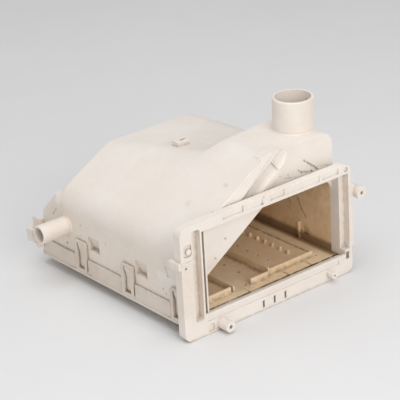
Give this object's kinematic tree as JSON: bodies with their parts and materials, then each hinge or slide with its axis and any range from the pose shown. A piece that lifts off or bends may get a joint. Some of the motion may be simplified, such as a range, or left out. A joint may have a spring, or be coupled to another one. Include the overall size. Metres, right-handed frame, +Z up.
{
  "type": "detergent drawer housing",
  "caption": "Moulded detergent drawer housing of a washing machine: framed mouth, sloping sump with a drain spigot, side overflow pipe and a clip-on distributor cover.",
  "frame": {"origin": "middle of the footprint, on the surface it stands on", "axes": "+Z up along the drain spigot, -Y out of the drawer mouth, -X along the overflow pipe; the part stands upside down to its place in the machine"},
  "size_m": [0.239, 0.2408, 0.169],
  "materials": {
    "housing_plastic": "aged ivory polypropylene, satin, with scuffs and grime in the corners",
    "plate_plastic": "polypropylene stained tan by detergent",
    "cover_plastic": "aged ivory polypropylene, satin"
  },
  "bodies": {
    "root": {"housing": "housing_plastic", "distributor_plate": "plate_plastic", "distributor_cover": "cover_plastic"}
  },
  "joints": []
}
